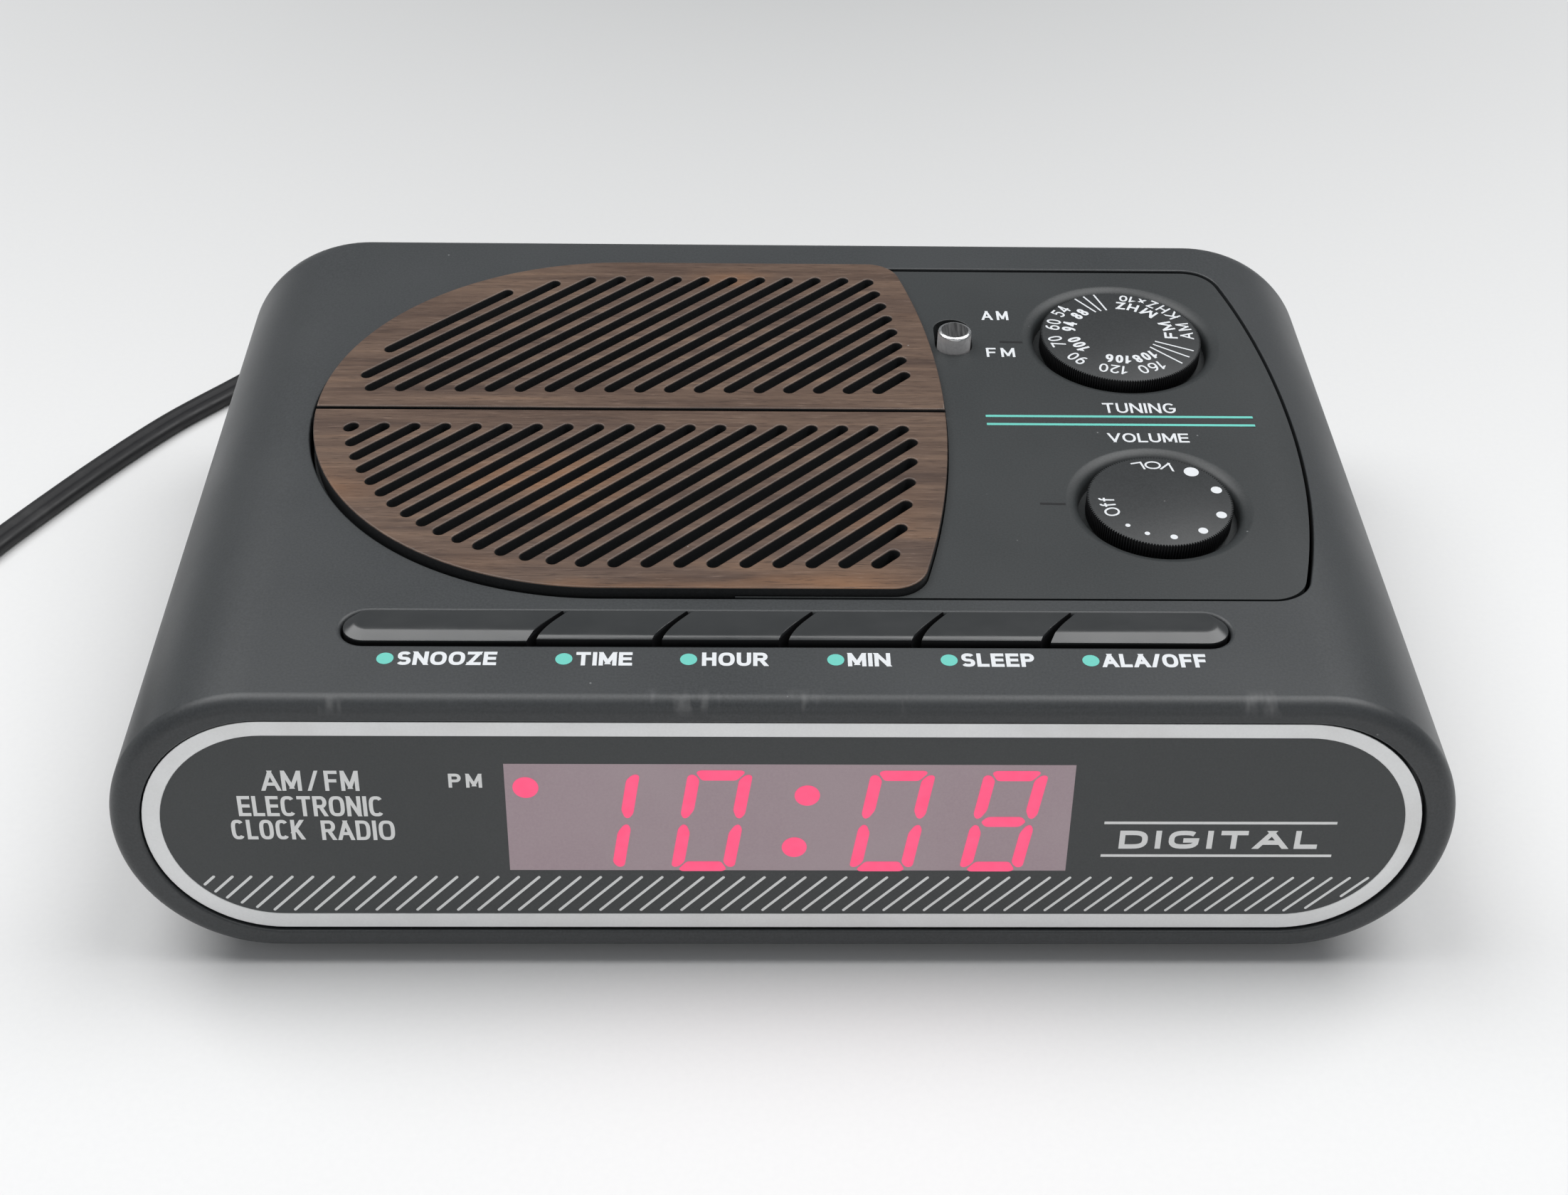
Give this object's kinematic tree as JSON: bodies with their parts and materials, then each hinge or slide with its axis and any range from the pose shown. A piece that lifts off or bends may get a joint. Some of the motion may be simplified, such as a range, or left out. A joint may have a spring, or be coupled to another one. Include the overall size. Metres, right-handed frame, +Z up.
{
  "type": "clock radio",
  "caption": "Low table clock radio with round sides, leaning front with an LED clock behind a long lens, slotted grille, dials, switch, keys and a coiled mains cord.",
  "frame": {"origin": "on the table, under the middle of the cabinet", "axes": "+X to the listener's right along the front, +Y from the front to the back, +Z up"},
  "size_m": [0.3422, 0.1861, 0.0532],
  "materials": {
    "charcoal_plastic": "fine satin grain",
    "wood_grain_plastic": "printed wood grain, satin",
    "smoked_lens": "smoked acrylic, gloss",
    "led_display": "red light-emitting digits on a grey-pink face",
    "black_plastic": "satin",
    "key_black": "gloss",
    "bright_steel": "plated",
    "bright_cap": "bright plating",
    "rubber": "matt",
    "cord_black": "satin",
    "brass": "bright",
    "circuit_board": "phenolic board",
    "clear_plastic": "milky clear",
    "paper_cone": "matt paper",
    "ferrite": "matt",
    "laminated_iron": "varnished",
    "yellow_tape": "tape",
    "blue_sleeve": "shrink sleeve",
    "copper_wire": "enamelled wire",
    "battery_can": "printed can"
  },
  "bodies": {
    "cabinet": {"band_switch_body": "bright_steel", "battery_9v": "battery_can", "battery_box": "black_plastic", "battery_snap": "black_plastic", "bottom_cabinet": "charcoal_plastic", "case_screw_1": "bright_steel", "case_screw_2": "bright_steel", "case_screw_3": "bright_steel", "case_screw_4": "bright_steel", "clock_chip": "black_plastic", "control_panel": "charcoal_plastic", "cord_coil": "cord_black", "display_module": "led_display", "ferrite_coil": "copper_wire", "ferrite_rod": "ferrite", "filter_capacitor": "blue_sleeve", "foot_1": "rubber", "foot_2": "rubber", "foot_3": "rubber", "foot_4": "rubber", "front_lens": "smoked_lens", "grille_lower": "wood_grain_plastic", "grille_upper": "wood_grain_plastic", "key_board": "circuit_board", "main_board": "circuit_board", "plug_blade_left": "brass", "plug_blade_right": "brass", "plug_body": "cord_black", "power_cord": "cord_black", "radio_chip": "black_plastic", "speaker_cone": "paper_cone", "speaker_frame": "bright_steel", "speaker_magnet": "ferrite", "strain_relief": "cord_black", "tact_switch_alarm_off": "bright_steel", "tact_switch_hour": "bright_steel", "tact_switch_minute": "bright_steel", "tact_switch_sleep": "bright_steel", "tact_switch_snooze": "bright_steel", "tact_switch_time": "bright_steel", "top_cabinet": "charcoal_plastic", "transformer_coil": "yellow_tape", "transformer_core": "laminated_iron", "tuning_capacitor": "clear_plastic", "volume_potentiometer": "bright_steel"},
    "tuning_dial": {"tuning_knob": "black_plastic", "tuning_shaft": "bright_steel"},
    "volume_dial": {"volume_knob": "black_plastic", "volume_shaft": "bright_steel"},
    "band_switch": {"band_switch_cap": "bright_cap", "band_switch_lever": "black_plastic"},
    "battery_cover": {"battery_door": "charcoal_plastic"},
    "snooze_key": {"key_snooze": "key_black"},
    "time_key": {"key_time": "key_black"},
    "hour_key": {"key_hour": "key_black"},
    "minute_key": {"key_minute": "key_black"},
    "sleep_key": {"key_sleep": "key_black"},
    "alarm_off_key": {"key_alarm_off": "key_black"}
  },
  "joints": [
    {"name": "tuning_turn", "type": "hinge", "parent": "cabinet", "child": "tuning_dial", "pos_m": [0.0615, 0.0348, 0.05], "axis": [0, 0, 1], "range_deg": [-130, 45]},
    {"name": "volume_turn", "type": "hinge", "parent": "cabinet", "child": "volume_dial", "pos_m": [0.0615, -0.014, 0.05], "axis": [0, 0, 1], "range_deg": [-280, 0]},
    {"name": "band_slide", "type": "slide", "parent": "cabinet", "child": "band_switch", "axis": [0, 1, 0], "range_m": [0, 0.005]},
    {"name": "battery_cover_slide", "type": "slide", "parent": "cabinet", "child": "battery_cover", "axis": [0, 1, 0], "range_m": [0, 0.006]},
    {"name": "snooze_press", "type": "slide", "parent": "cabinet", "child": "snooze_key", "axis": [0, 0, -1], "range_m": [0, 0.0015], "stiffness_N_per_m": 400},
    {"name": "time_press", "type": "slide", "parent": "cabinet", "child": "time_key", "axis": [0, 0, -1], "range_m": [0, 0.0015], "stiffness_N_per_m": 400},
    {"name": "hour_press", "type": "slide", "parent": "cabinet", "child": "hour_key", "axis": [0, 0, -1], "range_m": [0, 0.0015], "stiffness_N_per_m": 400},
    {"name": "minute_press", "type": "slide", "parent": "cabinet", "child": "minute_key", "axis": [0, 0, -1], "range_m": [0, 0.0015], "stiffness_N_per_m": 400},
    {"name": "sleep_press", "type": "slide", "parent": "cabinet", "child": "sleep_key", "axis": [0, 0, -1], "range_m": [0, 0.0015], "stiffness_N_per_m": 400},
    {"name": "alarm_off_press", "type": "slide", "parent": "cabinet", "child": "alarm_off_key", "axis": [0, 0, -1], "range_m": [0, 0.0015], "stiffness_N_per_m": 400}
  ]
}
